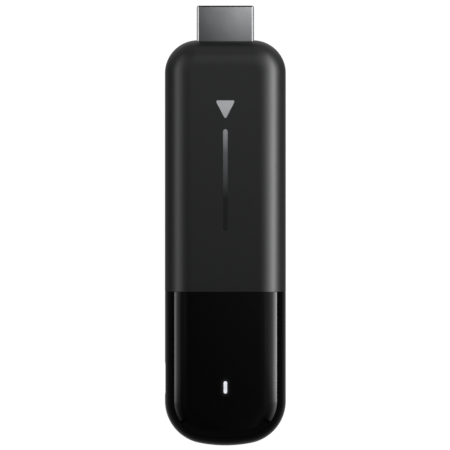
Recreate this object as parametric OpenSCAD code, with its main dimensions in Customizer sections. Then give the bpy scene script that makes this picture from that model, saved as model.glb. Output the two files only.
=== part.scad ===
// Streaming media player stick: a flat two-tone case with a plug on its top end.
// The case lies on its back. Its front faces +Z and its plug points along +Y.
// The origin is under the middle of the whole stick, on the surface that it rests on.

/* [Case] */
// Width of the case across its sides
case_w = 29.4; // [27:0.1:40]
// Length of the case without the plug
case_l = 98.5; // [90:0.5:140]
// Thickness of the case from back to front
case_t = 15.4; // [15.4:0.1:20]
// Thickness of the moulded walls
wall = 1.4; // [1:0.05:1.7]
// Radius of the two shoulders beside the plug
shoulder_r = 8; // [7.5:0.1:10.5]
// Radius of the two corners of the far end
end_corner_r = 10.4; // [9:0.1:12.5]
// Radius of the shallow arc across the far end
end_arc_r = 32; // [26:0.5:60]
// Width of the rounding over the front edge
front_round = 6.6; // [5.5:0.1:7]
// Width of the rounding over the back edge
back_round = 5.4; // [4.5:0.1:6]
// Gap between neighbouring covers
cover_gap = 0.12; // [0.05:0.01:0.3]
// Clearance between pieces that slide into each other
fit = 0.1; // [0.05:0.01:0.2]

/* [End cap] */
// Length of the glossy cap on the far end
cap_l = 37.5; // [33:0.5:48]
// How far the covers reach into the cap
spigot_l = 4; // [3:0.5:6]
// Thickness of the ring that reaches into the cap
spigot_t = 1; // [0.8:0.1:1.2]

/* [Status light] */
// Distance from the far end to the middle of the light
light_y = 14.5; // [12:0.5:18]
// Width of the light pipe
light_w = 0.8; // [0.7:0.1:1.5]
// Length of the light pipe
light_l = 2.9; // [2:0.1:5]

/* [Plug] */
// Length of the plug outside the case
plug_reach = 8.3; // [7.5:0.1:10]
// Width of the plug's metal shell
plug_w = 13.9; // [13.5:0.05:14]
// Height of the plug's metal shell
plug_h = 4.45; // [4.3:0.05:4.55]
// Thickness of the plug's sheet metal
plug_sheet = 0.3; // [0.2:0.05:0.4]
// Length of the plug inside the case
plug_tail = 6; // [5:0.5:8]

/* [Power port] */
// Distance from the far end to the middle of the power port
port_y = 16.3; // [15.5:0.1:22]
// Width of the port's metal shell
port_w = 7.5; // [7.3:0.1:8]
// Height of the port's metal shell
port_h = 2.5; // [2.4:0.05:2.8]
// Depth of the port's metal shell
port_d = 5.2; // [5:0.1:6]
// Thickness of the port's sheet metal
port_sheet = 0.25; // [0.2:0.05:0.3]
// How far the port's mouth sits inside the case's side
port_recess = 0.7; // [0.4:0.1:1.2]

/* [Board] */
// Thickness of the circuit board
board_t = 1; // [0.8:0.1:1.2]
// Room between the board's edge and the covers' inner lips
board_room = 0.4; // [0.3:0.1:0.8]
// Shank diameter of the board screws
screw_d = 1.6; // [1.4:0.1:2]
// Length of the board screws under the head
screw_l = 4.5; // [3.5:0.1:5]
// Outer diameter of the front cover's screw bosses
boss_d = 4; // [3.6:0.1:4.4]

/* [Chips and cooling] */
// Side of the square processor
processor_w = 13; // [11:0.5:14]
// Height of the processor and the memory chips
chip_t = 1; // [0.8:0.1:1.2]
// Height of the front shield above the board
shield_h = 1.7; // [1.6:0.1:1.9]
// Thickness of the shields' sheet metal
shield_sheet = 0.2; // [0.15:0.05:0.25]
// Thickness of the front and rear heat spreaders
spreader_t = 1.5; // [1:0.1:1.6]
// Thickness of the pad between the shield lid and the heat spreader
spreader_pad_t = 1.4; // [1:0.1:1.5]

/* [Hidden] */
$fn = 64;

// The case's outline
half_w = case_w / 2;
end_y = -(case_l + plug_reach) / 2;
top_y = end_y + case_l;
tip_y = top_y + plug_reach;
mid_z = case_t / 2;
arc_rise = sqrt(pow(end_arc_r - end_corner_r, 2) - pow(half_w - end_corner_r, 2));
corner_y = end_y + end_arc_r - arc_rise;
arc_angle = asin((half_w - end_corner_r) / (end_arc_r - end_corner_r));
shoulder_y = top_y - shoulder_r;
split_y = end_y + cap_l;
profile_steps = 12;
corner_steps = 12;
arc_steps = 8;

// The lips that line up the two covers, and the snaps that hold them
lip_t = 0.8;
lip_h = 1;
lip_foot = 1.6;
lip_bite = 0.3;
lip_x = half_w - wall - fit - lip_t;
lip_start = split_y + 4;
lip_end = shoulder_y - 1;
snap_l = 4;
snap_h = 0.5;
snap_reach = 0.25;
snap_count = 3;
spigot_root = 2;

// The board
board_bottom = mid_z - board_t / 2;
board_top = mid_z + board_t / 2;
board_inset = half_w - lip_x + board_room;
neck_w = plug_w - 2 * plug_sheet - 2 * fit;
neck_y = top_y - wall - plug_tail;
board_y = neck_y - 6;
screw_x = half_w - board_inset - 2.6;
screw_rows = [board_y - 3.4, split_y + 6.4];
screw_head_d = 3;
screw_head_h = 0.8;

// The front shield, its chips and its cooling
shield_w = 2 * screw_x + 3.6;
shield_y0 = split_y + 10.5;
shield_y1 = board_y - 7.6;
shield_mid = (shield_y0 + shield_y1) / 2;
shield_l = shield_y1 - shield_y0;
lid_z = board_top + shield_h;
spreader_z = lid_z + spreader_pad_t;
spreader_y0 = split_y + spigot_root + 1.5;
spreader_y1 = board_y + 1;
spreader_x = half_w - front_round + 1;
chip_edge = 1.25;
chip_room = shield_l - processor_w - chip_edge;
processor_y = shield_y1 - chip_room / 4 - processor_w / 2;
memory_w = 7.5;
memory_l = chip_room * 0.65;
memory_x = memory_w / 2 + 0.8;
memory_y = shield_y0 + chip_edge + memory_l / 2;

// The radio
radio_w = 12;
radio_l = 12;
radio_y = split_y - 2.5;
radio_h = 1.6;
radio_chip_w = 7;

// The back of the board
rear_shield_w = 17;
rear_shield_l = shield_l - 3.5;
rear_shield_y = shield_mid;
rear_shield_h = 1.6;
flash_w = 11.5;
flash_l = 13;
rear_pad_t = 1.2;
rear_lid_z = board_bottom - rear_shield_h;
rear_spreader_z = rear_lid_z - rear_pad_t - spreader_t;

// The plug
plug_corner = 0.7;
plug_cut = 1.6;
slot_w = 11.6;
slot_h = 2;
slot_d = plug_reach - 1;
slot_y = tip_y - slot_d;
insulator_y = tip_y - 0.6;
contact_pitch = 1;
contact_w = 0.45;
contact_t = 0.2;
contact_z = slot_h / 2 - 0.15;

// The power port
port_mouth_x = -half_w + port_recess;
port_mid_y = end_y + port_y;
port_back_x = port_mouth_x + port_d;
port_block = 1.5;
port_corner = 0.5;
port_cut = 0.8;
tongue_w = 3.8;
tongue_t = 0.6;
port_pitch = 0.65;

// The light
light_mid_y = end_y + light_y;
light_fit = 0.03;
light_rim = 0.6;
flange_z = case_t - wall - 0.8;
shroud_t = 1.5;
led_h = 0.7;
light_gap = 0.3;

// Small parts near the power port, and the ribs in the cap that the board rests on
part_x = 5.6;
power_y = radio_y - radio_l / 2 - 3.6;
coil_y = power_y - 5;
coil_w = 4;
coil_h = 1.8;
rib_t = 0.8;
rib_l = cap_l * 0.5;
rib_y = end_y + cap_l * 0.45;

// ---------------------------------------------------------------- shapes used more than once

// A length to a ten-thousandth of a millimetre, so that straight and turned lengths of the case
// meet in exactly the same points.
function exact(v) = round(v * 10000) / 10000;

// Rounded side of the case, from the back face up to the front face, at an inset.
function side_curve(x, inset) = concat(
    [for (i = [0:profile_steps])
        let (a = 90 * i / profile_steps, w = back_round - inset, h = mid_z - inset)
        [x - exact(inset + w - w * sin(a)), exact(mid_z - h * cos(a))]],
    [for (i = [1:profile_steps])
        let (a = 90 * i / profile_steps, w = front_round - inset, h = case_t - mid_z - inset)
        [x - exact(inset + w - w * cos(a)), exact(mid_z + h * sin(a))]]
);

// Half of the case's section, from a centre line out to the side at x.
module half_section(x, inset) {
    polygon(concat([[0, inset]], side_curve(x, inset), [[0, case_t - inset]]));
}

// The whole section across the case's width.
module section(inset) {
    right = side_curve(half_w, inset);
    left = [for (i = [len(right) - 1:-1:0]) [-right[i][0], right[i][1]]];
    polygon(concat(right, left));
}

// A length of the case's straight part, between two places along Y.
module straight(inset, y0, y1) {
    translate([0, y1, 0])
        rotate([90, 0, 0])
            linear_extrude(y1 - y0)
                section(inset);
}

// The solid inside the case's surface at an inset, from a place along Y up to the plug's end.
module upper_body(inset, y0) {
    straight(inset, y0, shoulder_y);
    for (side = [0, 1])
        mirror([side, 0, 0])
            translate([half_w - shoulder_r, shoulder_y, 0])
                rotate_extrude(angle = 90, $fn = 96)
                    half_section(shoulder_r, inset);
    translate([-half_w + shoulder_r, shoulder_y, 0])
        rotate([90, 0, 90])
            linear_extrude(case_w - 2 * shoulder_r)
                half_section(shoulder_r, inset);
}

// Where the outline of the far end turns: each is an arc's centre, its radius and a direction.
end_stations = concat(
    [for (i = [0:corner_steps])
        [[half_w - end_corner_r, corner_y], end_corner_r, -(90 - arc_angle) * i / corner_steps]],
    [for (i = [1:arc_steps - 1])
        [[0, end_y + end_arc_r], end_arc_r, -90 + arc_angle * (1 - 2 * i / arc_steps)]],
    [for (i = [corner_steps:-1:0])
        [[-half_w + end_corner_r, corner_y], end_corner_r, 180 + (90 - arc_angle) * i / corner_steps]]
);

// The outline of the far end at an inset, from its right end at y1 round to its left end.
function end_outline(inset, y1) = concat(
    [[half_w - inset, y1]],
    [for (s = end_stations) s[0] + (s[1] - inset) * [cos(s[2]), sin(s[2])]],
    [[-half_w + inset, y1]]
);

// The solid inside the far end's surface at an inset, up to a place along Y.
module far_end(inset, y1) {
    curve = side_curve(half_w, inset);
    rings = [for (p = curve) [for (q = end_outline(half_w - p[0], y1)) [q[0], q[1], p[1]]]];
    n = len(rings[0]);
    last = len(rings) - 1;
    polyhedron(
        points = [for (ring = rings) each ring],
        faces = concat(
            [[for (i = [n - 1:-1:0]) i]],
            [for (j = [0:last - 1], i = [0:n - 1])
                let (k = (i + 1) % n, low = j * n, high = low + n)
                each [[low + i, low + k, high + k], [low + i, high + k, high + i]]],
            [[for (i = [0:n - 1]) last * n + i]]
        )
    );
}

// Everything between two places along Y and two heights.
module slice(y0, y1, z0, z1) {
    translate([-case_w, y0, z0])
        cube([2 * case_w, y1 - y0, z1 - z0]);
}

// The ring on the covers' lower end that slides into the end cap.
module spigot() {
    outer = wall + fit;
    inner = outer + spigot_t;
    difference() {
        union() {
            straight(outer, split_y - spigot_l, split_y + cover_gap);
            straight(wall - lip_bite, split_y + cover_gap / 2, split_y + spigot_root);
        }
        straight(inner, split_y - spigot_l - 1, split_y + spigot_root + 1);
    }
}

// Small catches on the spigot's front and back faces, or the cap's pockets for them.
module spigot_snaps(front, room) {
    reach = snap_reach + room;
    z = front ? case_t - wall - fit - lip_bite : wall + fit - reach;
    for (x = [-1, 1])
        translate([x * half_w * 0.27 - snap_l / 2 - room, split_y - spigot_l + 1 - room, z])
            cube([snap_l + 2 * room, 1 + 2 * room, reach + lip_bite]);
}

// The lip along one side of the rear cover, with a foot in its wall.
module lip() {
    translate([lip_x, lip_start, mid_z - lip_foot])
        cube([lip_t, lip_end - lip_start, lip_foot + lip_h]);
    translate([lip_x, lip_start, mid_z - lip_foot])
        cube([lip_t + fit + lip_bite, lip_end - lip_start, lip_foot - cover_gap]);
}

// The snaps along one side of the lip, or the front cover's pockets for them.
module lip_snaps(room) {
    span = lip_end - lip_start;
    for (i = [0:snap_count - 1])
        translate([
            lip_x + lip_t - lip_bite,
            lip_start + span * (i + 0.5) / snap_count - snap_l / 2 - room,
            mid_z + 0.4 - room
        ])
            cube([snap_reach + room + lip_bite, snap_l + 2 * room, snap_h + 2 * room]);
}

// Section of a stamped connector shell: round upper corners and cut lower ones, at an inset.
function shell_outline(w, h, radius, cut, inset) =
    let (
        steps = 6,
        cut_z = -h * 0.12,
        lean = atan2(cut, h / 2 + cut_z),
        side_z = cut_z + inset * tan(lean / 2),
        foot_x = w / 2 - cut - inset * (1 - sin(lean)) / cos(lean),
        right = [for (i = [0:steps])
            let (a = 90 * i / steps)
            [w / 2 - radius + (radius - inset) * cos(a), h / 2 - radius + (radius - inset) * sin(a)]]
    )
    concat(
        [[foot_x, -h / 2 + inset], [w / 2 - inset, side_z]],
        right,
        [for (i = [steps:-1:0]) [-right[i][0], right[i][1]]],
        [[-w / 2 + inset, side_z], [-foot_x, -h / 2 + inset]]
    );

// A length of the plug's section along Y.
module plug_bar(inset, y0, y1) {
    translate([0, y1, mid_z])
        rotate([90, 0, 0])
            linear_extrude(y1 - y0)
                polygon(shell_outline(plug_w, plug_h, plug_corner, plug_cut, inset));
}

// A length of the power port's section along X.
module port_bar(inset, x0, x1) {
    translate([x0, port_mid_y, mid_z])
        rotate([90, 0, 90])
            linear_extrude(x1 - x0)
                polygon(shell_outline(port_w, port_h, port_corner, port_cut, inset));
}

// Runs its children at each board screw.
module at_screws() {
    for (x = [-screw_x, screw_x], y = screw_rows)
        translate([x, y, 0])
            children();
}

// A bar with half-round ends, standing on its long side along Y.
module pill(w, l, z0, z1) {
    translate([0, light_mid_y, z0]) {
        for (y = [-1, 1])
            translate([0, y * (l - w) / 2, 0])
                cylinder(d = w, h = z1 - z0, $fn = 48);
        translate([-w / 2, -(l - w) / 2, 0])
            cube([w, l - w, z1 - z0]);
    }
}

// A block standing on the board's front face at x, y.
module on_board(x, y, w, l, h) {
    translate([x - w / 2, y - l / 2, board_top])
        cube([w, l, h]);
}

// A block with its middle at x, y, between two heights.
module block(x, y, w, l, z0, z1) {
    translate([x - w / 2, y - l / 2, z0])
        cube([w, l, z1 - z0]);
}

// A chip resistor or capacitor: a ceramic body between two wider metal ends.
module small_part(x, y, l, w, h) {
    on_board(x, y, w, l * 0.6, h * 0.94);
    for (end = [-1, 1])
        on_board(x, y + end * l * 0.37, w * 1.06, l * 0.26, h);
}

// ---------------------------------------------------------------- covers

// Both matte covers before they are parted, with the ring that reaches into the cap.
module cover_pair() {
    difference() {
        upper_body(0, split_y + cover_gap / 2);
        upper_body(wall, split_y - 1);
    }
    spigot();
}

module front_cover() {
    color("#2b2c2e")
        difference() {
            union() {
                intersection() {
                    cover_pair();
                    slice(split_y - spigot_l, tip_y, mid_z + cover_gap / 2, case_t);
                }
                spigot_snaps(true, 0);
                intersection() {
                    upper_body(wall / 2, split_y);
                    at_screws()
                        translate([0, 0, board_top])
                            cylinder(d = boss_d, h = case_t - board_top);
                }
            }
            plug_bar(-fit, shoulder_y, tip_y);
            at_screws()
                translate([0, 0, board_bottom])
                    cylinder(d = screw_d + fit, h = screw_l + 0.5);
            for (side = [0, 1])
                mirror([side, 0, 0])
                    lip_snaps(fit);
        }
}

module rear_cover() {
    color("#2b2c2e")
        difference() {
            union() {
                intersection() {
                    cover_pair();
                    slice(split_y - spigot_l, tip_y, 0, mid_z - cover_gap / 2);
                }
                spigot_snaps(false, 0);
                for (side = [0, 1])
                    mirror([side, 0, 0]) {
                        lip();
                        lip_snaps(0);
                    }
            }
            plug_bar(-fit, shoulder_y, tip_y);
        }
}

module end_cap() {
    color("#0b0c0e") {
        difference() {
            far_end(0, split_y - cover_gap / 2);
            far_end(wall, split_y + 1);
            pill(light_w + 2 * light_fit, light_l + 2 * light_fit, case_t - 2 * wall, case_t + 1);
            port_bar(-fit, -half_w - 1, -half_w + 2 * wall);
            spigot_snaps(true, fit);
            spigot_snaps(false, fit);
        }
        for (x = [-1, 1])
            block(x * half_w * 0.4, rib_y, rib_t, rib_l, wall - lip_bite, board_bottom);
    }
}

// ---------------------------------------------------------------- status light

module light_pipe() {
    color("#e6e8ea") {
        pill(light_w, light_l, board_top + led_h + light_gap, case_t);
        pill(light_w + 2 * light_rim, light_l + 2 * light_rim, flange_z, case_t - wall);
    }
}

module light_shroud() {
    room = 0.3;
    color("#1a1a1a")
        difference() {
            pill(light_w + 2 * shroud_t, light_l + 2 * shroud_t, board_top, flange_z);
            pill(light_w + 2 * room, light_l + 2 * room, board_top - 1, flange_z + 1);
        }
}

module status_led() {
    color("#f4f1e2") {
        on_board(0, light_mid_y, light_w * 0.9, 1.6, led_h * 0.45);
        on_board(0, light_mid_y, light_w * 0.9, 1.1, led_h);
    }
}

// ---------------------------------------------------------------- plug

module plug_shell() {
    leg_h = plug_h * 0.5;
    color("#a9abae") {
        difference() {
            plug_bar(0, neck_y, tip_y);
            plug_bar(plug_sheet, neck_y - 1, tip_y + 1);
        }
        for (side = [0, 1])
            mirror([side, 0, 0])
                translate([plug_w / 2 - plug_sheet, board_y + 1, mid_z - leg_h / 2])
                    cube([plug_sheet, neck_y - board_y, leg_h]);
    }
}

module plug_insulator() {
    groove = contact_w + fit / 2;
    color("#141414")
        difference() {
            plug_bar(plug_sheet + fit / 2, neck_y, insulator_y);
            translate([-slot_w / 2, slot_y, mid_z - slot_h / 2])
                cube([slot_w, slot_d, slot_h]);
            at_contacts()
                translate([-groove / 2, neck_y - 1, contact_z - fit / 4])
                    cube([groove, insulator_y - neck_y + 0.3, contact_t + fit / 2]);
        }
}

// Runs its children at each plug contact, with the lower row turned over.
module at_contacts() {
    for (i = [0:9])
        translate([(i - 4.5) * contact_pitch, 0, mid_z])
            children();
    for (i = [0:8])
        translate([(i - 4) * contact_pitch, 0, mid_z])
            mirror([0, 0, 1])
                children();
}

module plug_contacts() {
    tail = board_t / 2;
    bend = neck_y - 0.4;
    flat = neck_y - 1.2;
    end = neck_y - 2.6;
    tip = insulator_y - 0.9;
    color("#c9a24a")
        at_contacts()
            translate([contact_w / 2, 0, 0])
                rotate([90, 0, -90])
                    linear_extrude(contact_w)
                        polygon([
                            [-tip, contact_z], [-bend, contact_z], [-flat, tail], [-end, tail],
                            [-end, tail + contact_t], [-flat, tail + contact_t],
                            [-bend, contact_z + contact_t], [-tip, contact_z + contact_t]
                        ]);
}

// ---------------------------------------------------------------- power port

module port_shell() {
    color("#b4b6b8")
        difference() {
            port_bar(0, port_mouth_x, port_back_x);
            port_bar(port_sheet, port_mouth_x - 1, port_back_x + 1);
        }
}

module port_insulator() {
    slit = contact_t + fit / 2;
    color("#141414")
        difference() {
            union() {
                port_bar(port_sheet + fit / 4, port_back_x - port_block, port_back_x);
                translate([port_mouth_x + 0.8, port_mid_y - tongue_w / 2, board_top - tongue_t])
                    cube([port_d - 1, tongue_w, tongue_t]);
            }
            for (i = [-2:2])
                translate([port_back_x - 2 * port_block, port_mid_y + i * port_pitch - 0.18, board_top])
                    cube([3 * port_block, 0.36, slit]);
        }
}

module port_contacts() {
    color("#c9a24a")
        for (i = [-2:2])
            translate([port_mouth_x + 1.3, port_mid_y + i * port_pitch - 0.15, board_top])
                cube([port_d, 0.3, contact_t * 0.7]);
}

// ---------------------------------------------------------------- board

module main_board() {
    port_edge = port_back_x + fit;
    color("#1f4a34")
        difference() {
            translate([0, 0, board_bottom])
                linear_extrude(board_t)
                    difference() {
                        union() {
                            polygon(end_outline(board_inset, board_y));
                            translate([-neck_w / 2, board_y - 1])
                                square([neck_w, neck_y - board_y + 1]);
                        }
                        translate([-case_w, port_mid_y - port_w / 2 - fit])
                            square([case_w + port_edge, port_w + 2 * fit]);
                    }
            at_screws()
                translate([0, 0, board_bottom - 1])
                    cylinder(d = screw_d + 2 * fit, h = board_t + 2);
        }
}

module board_screws() {
    slot = 0.35;
    color("#8d9093")
        at_screws()
            difference() {
                union() {
                    translate([0, 0, board_bottom - screw_head_h])
                        cylinder(d = screw_head_d, h = screw_head_h);
                    translate([0, 0, board_bottom])
                        cylinder(d = screw_d, h = screw_l);
                }
                for (turn = [0, 90])
                    rotate([0, 0, turn])
                        translate([-screw_head_d * 0.3, -slot / 2, board_bottom - screw_head_h - 1])
                            cube([screw_head_d * 0.6, slot, 1 + screw_head_h * 0.6]);
            }
}

// ---------------------------------------------------------------- chips

// A chip's body on its slightly wider base.
module chip(x, y, w, l, h) {
    on_board(x, y, w, l, h * 0.35);
    on_board(x, y, w - 0.8, l - 0.8, h);
}

module processor() {
    color("#1c1d20")
        chip(0, processor_y, processor_w, processor_w, chip_t);
}

module memory_chips() {
    color("#1c1d20")
        for (x = [-1, 1])
            chip(x * memory_x, memory_y, memory_w, memory_l, chip_t);
}

module flash_chip() {
    color("#1c1d20")
        block(0, rear_shield_y, flash_w, flash_l, board_bottom - chip_t, board_bottom);
}

module radio_chip() {
    color("#1c1d20")
        chip(0, radio_y, radio_chip_w, radio_chip_w, chip_t * 0.85);
}

module power_regulators() {
    color("#1c1d20")
        for (x = [-1, 1])
            chip(x * part_x, power_y, 4, 4, 0.9);
}

module inductors() {
    color("#3a3d42")
        for (x = [-1, 1])
            intersection() {
                on_board(x * part_x, coil_y, coil_w, coil_w, coil_h);
                translate([x * part_x, coil_y, board_top])
                    cylinder(d = coil_w * 1.25, h = coil_h);
            }
}

module capacitors() {
    color("#a98a62") {
        for (x = [-1, 1], i = [0:5])
            small_part(x * (radio_w / 2 + 1.8), radio_y + (i - 2.5) * 1.9, 1.2, 0.7, 0.6);
        for (i = [-2:2])
            small_part(i * 2.3, board_y - 2.6, 1.6, 0.9, 0.9);
        for (i = [-1, 1])
            small_part(i * 1.4, power_y, 2, 1.2, 1.2);
    }
}

module resistors() {
    color("#24262a") {
        for (x = [-1, 1], i = [0:5])
            small_part(x * (radio_w / 2 + 3.5), radio_y + (i - 2.5) * 1.9, 1, 0.5, 0.35);
        for (i = [-3:3])
            small_part(i * 1.5, board_y - 5.2, 1, 0.5, 0.35);
    }
}

module clock_crystals() {
    color("#c4c6c8")
        for (x = [-1, 1])
            chip(x * 3, (shield_y0 + radio_y + radio_l / 2) / 2, 3.2, 2.5, 0.8);
}

// ---------------------------------------------------------------- shields and cooling

module shield_frame() {
    inset = shield_sheet + fit;
    lip = 0.7;
    h = shield_h - shield_sheet;
    color("#b9bcbf")
        difference() {
            on_board(0, shield_mid, shield_w - 2 * inset, shield_l - 2 * inset, h);
            on_board(0, shield_mid, shield_w - 2 * inset - 2 * shield_sheet,
                shield_l - 2 * inset - 2 * shield_sheet, h - shield_sheet);
            on_board(0, shield_mid, shield_w - 2 * inset - 2 * lip,
                shield_l - 2 * inset - 2 * lip, h + 1);
        }
}

module shield_lid() {
    skirt = 1;
    pitch = shield_l / 7;
    color("#c4c6c8")
        difference() {
            block(0, shield_mid, shield_w, shield_l, lid_z - skirt - shield_sheet, lid_z);
            block(0, shield_mid, shield_w - 2 * shield_sheet, shield_l - 2 * shield_sheet,
                board_top, lid_z - shield_sheet);
            for (x = [-1, 1], i = [-3:3])
                translate([x * (shield_w / 2 - 1.5), shield_mid + i * pitch, lid_z - 1])
                    cylinder(d = 0.9, h = 2, $fn = 24);
        }
}

// A can pressed from one sheet, closed at one end and open at the board.
module can(y, w, l, z_open, z_closed) {
    low = min(z_open, z_closed);
    high = max(z_open, z_closed);
    shift = z_open < z_closed ? -shield_sheet : shield_sheet;
    difference() {
        block(0, y, w, l, low, high);
        block(0, y, w - 2 * shield_sheet, l - 2 * shield_sheet, low + shift, high + shift);
    }
}

module radio_shield() {
    color("#c4c6c8")
        can(radio_y, radio_w, radio_l, board_top, board_top + radio_h);
}

module rear_shield() {
    color("#c4c6c8")
        can(rear_shield_y, rear_shield_w, rear_shield_l, board_bottom, rear_lid_z);
}

module chip_pads() {
    color("#9aa7b8") {
        block(0, processor_y, processor_w - 1, processor_w - 1, board_top + chip_t,
            lid_z - shield_sheet);
        for (x = [-1, 1])
            block(x * memory_x, memory_y, memory_w - 1, memory_l - 1, board_top + chip_t,
                lid_z - shield_sheet);
    }
}

module spreader_pad() {
    color("#9aa7b8")
        block(0, shield_mid, shield_w - 5, shield_l - 3, lid_z, spreader_z);
}

module rear_pad() {
    color("#9aa7b8")
        block(0, rear_shield_y, rear_shield_w - 2, rear_shield_l - 2, rear_lid_z - rear_pad_t,
            rear_lid_z);
}

// A plate as long as the covers' straight part, between two heights.
module spreader(z) {
    block(0, (spreader_y0 + spreader_y1) / 2, 2 * spreader_x, spreader_y1 - spreader_y0,
        z, z + spreader_t);
}

module heat_spreader() {
    groove = 1;
    count = 3;
    color("#b7babd")
        difference() {
            spreader(spreader_z);
            at_screws()
                translate([0, 0, spreader_z - 1])
                    cylinder(d = boss_d + 6 * fit, h = spreader_t + 2);
            for (i = [-count:count])
                block(i * spreader_x / (count + 2.5), shield_mid, groove, shield_l,
                    spreader_z + spreader_t * 0.6, spreader_z + 2 * spreader_t);
        }
}

module rear_heat_spreader() {
    color("#b7babd")
        spreader(rear_spreader_z);
}

module rear_foam() {
    color("#2f3032")
        for (y = [spreader_y0 + 4, shield_mid, spreader_y1 - 4])
            block(0, y, spreader_x * 1.5, 3, wall, rear_spreader_z);
}

// ---------------------------------------------------------------- antennas

// A folded strip: a long arm on a feed leg and a ground leg, with a flange along its top.
module antenna(l) {
    sheet = 0.25;
    arm_z = 1.3;
    arm_h = 2;
    flange = 2;
    translate([0, 0, board_top + arm_z])
        cube([l, sheet, arm_h]);
    translate([0, 0, board_top + arm_z + arm_h - sheet])
        cube([l, flange, sheet]);
    for (x = [0, 2.2])
        translate([x, 0, board_top])
            cube([0.8, sheet, arm_z + sheet]);
}

module antenna_left() {
    color("#c4b48f")
        translate([-half_w * 0.55, end_y + board_inset + 3.2, 0])
            antenna(half_w);
}

module antenna_right() {
    color("#c4b48f")
        translate([half_w - board_inset - 1.4, corner_y + 1, 0])
            rotate([0, 0, 90])
                antenna(10.5);
}

front_cover();
rear_cover();
end_cap();
light_pipe();
light_shroud();
status_led();
plug_shell();
plug_insulator();
plug_contacts();
port_shell();
port_insulator();
port_contacts();
main_board();
board_screws();
processor();
memory_chips();
flash_chip();
radio_chip();
shield_frame();
shield_lid();
radio_shield();
rear_shield();
chip_pads();
spreader_pad();
rear_pad();
heat_spreader();
rear_heat_spreader();
rear_foam();
power_regulators();
inductors();
capacitors();
resistors();
clock_crystals();
antenna_left();
antenna_right();
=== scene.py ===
import math

import bmesh
import bpy
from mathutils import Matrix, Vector

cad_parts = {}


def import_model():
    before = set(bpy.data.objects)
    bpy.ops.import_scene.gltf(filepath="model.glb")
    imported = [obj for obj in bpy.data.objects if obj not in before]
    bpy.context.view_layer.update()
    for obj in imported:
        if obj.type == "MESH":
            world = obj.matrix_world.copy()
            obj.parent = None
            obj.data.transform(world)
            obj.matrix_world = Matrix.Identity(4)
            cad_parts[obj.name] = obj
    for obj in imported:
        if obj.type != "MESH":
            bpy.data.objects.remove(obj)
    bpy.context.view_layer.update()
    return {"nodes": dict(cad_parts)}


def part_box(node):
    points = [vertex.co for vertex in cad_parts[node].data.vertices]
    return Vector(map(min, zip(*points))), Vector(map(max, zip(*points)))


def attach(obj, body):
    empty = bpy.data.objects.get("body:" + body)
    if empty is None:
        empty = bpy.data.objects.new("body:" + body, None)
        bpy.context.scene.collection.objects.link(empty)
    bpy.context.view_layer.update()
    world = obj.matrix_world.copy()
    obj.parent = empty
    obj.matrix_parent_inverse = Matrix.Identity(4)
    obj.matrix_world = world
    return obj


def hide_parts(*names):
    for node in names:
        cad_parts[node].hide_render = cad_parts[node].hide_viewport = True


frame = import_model()
mm = 0.001


# ---------------------------------------------------------------- circuit board
# Glass-epoxy board, 1 mm thick, under a dark green solder mask. It is screwed to the front
# cover, and its upper end fits between the legs of the plug.

def linear(hexcode):
    """An sRGB hex colour as the linear colour that a shader takes."""
    out = []
    for i in (0, 2, 4):
        c = int(hexcode[i:i + 2], 16) / 255
        out.append(c / 12.92 if c <= 0.04045 else ((c + 0.055) / 1.055) ** 2.4)
    return (*out, 1.0)


def add(tree, kind, inputs=None, **settings):
    """Adds a node with its settings. An input is a value, or another node's socket to link."""
    node = tree.nodes.new(kind)
    stops = settings.pop("stops", [])
    for name, value in settings.items():
        setattr(node, name, value)
    for i, (place, colour) in enumerate(stops):
        elements = node.color_ramp.elements
        element = elements[i] if i < len(elements) else elements.new(place)
        element.position, element.color = place, colour
    for key, value in (inputs or {}).items():
        if isinstance(value, bpy.types.NodeSocket):
            tree.links.new(value, node.inputs[key])
        else:
            node.inputs[key].default_value = value
    return node


def noise(tree, places, size, detail=2, **more):
    """Cloudy noise with features of about one size, in metres."""
    inputs = {"Vector": places, "Scale": 1 / size, "Detail": detail, **more}
    return add(tree, "ShaderNodeTexNoise", inputs).outputs["Fac"]


def tones(tree, value, *stops):
    """A colour that follows a value, from stops of a place and an sRGB hex colour."""
    ramp = [(place, linear(hexcode)) for place, hexcode in stops]
    return add(tree, "ShaderNodeValToRGB", {"Fac": value}, stops=ramp).outputs["Color"]


def between(tree, value, low, high, start=0, end=1):
    """A value that runs from start to end, spread from low to high."""
    inputs = {"Value": value, "From Min": start, "From Max": end, "To Min": low, "To Max": high}
    return add(tree, "ShaderNodeMapRange", inputs).outputs["Result"]


def relief(tree, height, strength, depth):
    """The normal of a fine relief, for a depth in metres."""
    inputs = {"Height": height, "Strength": strength, "Distance": depth}
    return add(tree, "ShaderNodeBump", inputs).outputs["Normal"]


def new_material(name):
    """A material with an empty node tree, and the socket that gives places on it in metres."""
    material = bpy.data.materials.new(name)
    material.use_nodes = True
    material.node_tree.nodes.clear()
    places = add(material.node_tree, "ShaderNodeTexCoord").outputs["Object"]
    return material, material.node_tree, places


def surface(tree, inputs):
    """Ends a material's tree with its one shader."""
    shader = add(tree, "ShaderNodeBsdfPrincipled", inputs)
    add(tree, "ShaderNodeOutputMaterial", {"Surface": shader.outputs["BSDF"]})


def dress(material, *names):
    """Gives CAD nodes a finished material."""
    for name in names:
        piece = frame["nodes"][name]
        piece.data.materials.clear()
        piece.data.materials.append(material)


def solder_mask():
    """Solder mask over etched copper: satin green, paler where the copper lies under it."""
    material, tree, places = new_material("solder_mask")
    island = 2.4 * mm
    copper = add(tree, "ShaderNodeTexVoronoi", {"Vector": places, "Scale": 1 / island},
                 feature="DISTANCE_TO_EDGE").outputs["Distance"]
    grain = noise(tree, places, 0.4 * mm, 3)
    surface(tree, {"Base Color": tones(tree, copper, (0.05, "16402b"), (0.09, "1f5638")),
                   "Roughness": between(tree, grain, 0.3, 0.42), "IOR": 1.55,
                   "Normal": relief(tree, copper, 0.3, 0.03 * mm)})
    return material


dress(solder_mask(), "main_board")


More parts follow.
